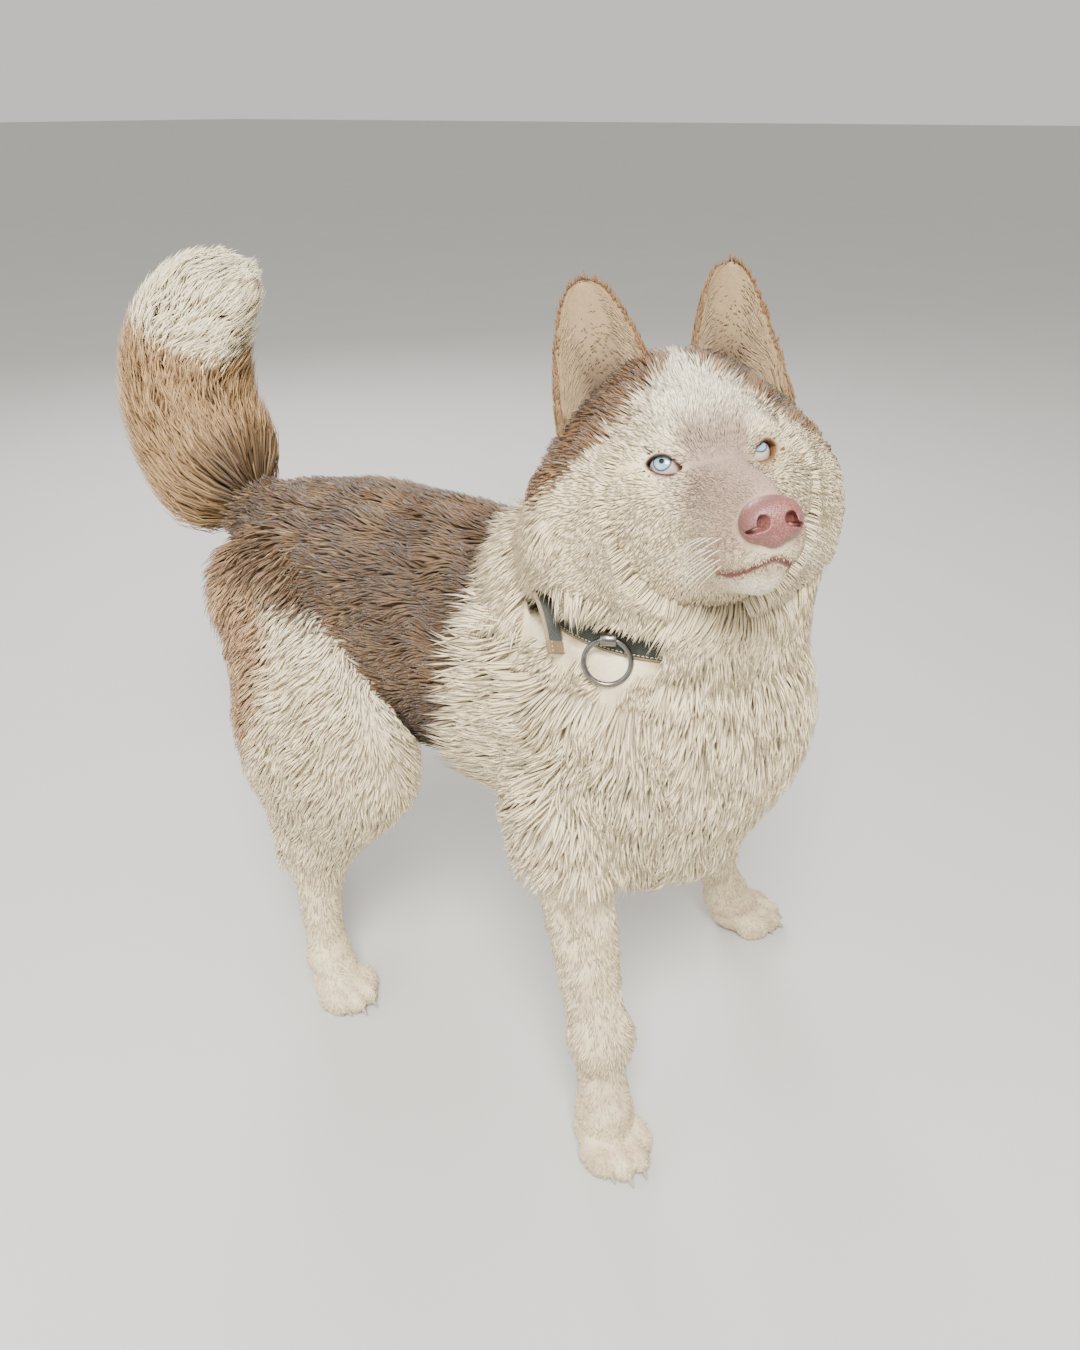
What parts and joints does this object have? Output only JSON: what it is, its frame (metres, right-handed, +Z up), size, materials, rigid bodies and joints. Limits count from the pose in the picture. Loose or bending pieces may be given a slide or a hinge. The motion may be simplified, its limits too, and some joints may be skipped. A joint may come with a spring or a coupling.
{
  "type": "siberian husky",
  "caption": "Life-size standing Siberian husky with a raised, turned head, a bushy tail held up over the back, and a webbing collar with a steel ring.",
  "frame": {"origin": "on the floor, at the middle of the model's footprint box", "axes": "+Z up, -Y the way the body faces, +X to the dog's left"},
  "size_m": [0.431, 0.7456, 0.7726],
  "materials": {
    "coat_white": "dense cream-white fur",
    "coat_saddle": "taupe-brown fur with paler flecks",
    "coat_tan": "tan and cream fur",
    "nose_leather": "moist pink-brown nose leather",
    "iris": "pale ice-blue, wet and glossy",
    "webbing": "dark green-black woven webbing",
    "ring_steel": "polished steel wire"
  },
  "bodies": {
    "root": {"head": "coat_white", "neck": "coat_white", "chest": "coat_white", "barrel": "coat_saddle", "thigh_right": "coat_tan", "gaskin_right": "coat_tan", "thigh_left": "coat_tan", "gaskin_left": "coat_tan", "rump": "coat_saddle", "tail_root": "coat_tan", "tail_middle": "coat_white", "tail_tip": "coat_white", "muzzle": "coat_white", "nose": "nose_leather", "ear_right": "coat_tan", "eye_right": "iris", "ear_left": "coat_tan", "eye_left": "iris", "collar_strap": "webbing", "collar_tab": "webbing", "collar_ring": "ring_steel", "ring_keeper": "ring_steel", "foreleg_right": "coat_white", "forepaw_right": "coat_white", "hock_right": "coat_white", "hindpaw_right": "coat_white", "foreleg_left": "coat_white", "forepaw_left": "coat_white", "hock_left": "coat_white", "hindpaw_left": "coat_white"}
  },
  "joints": []
}
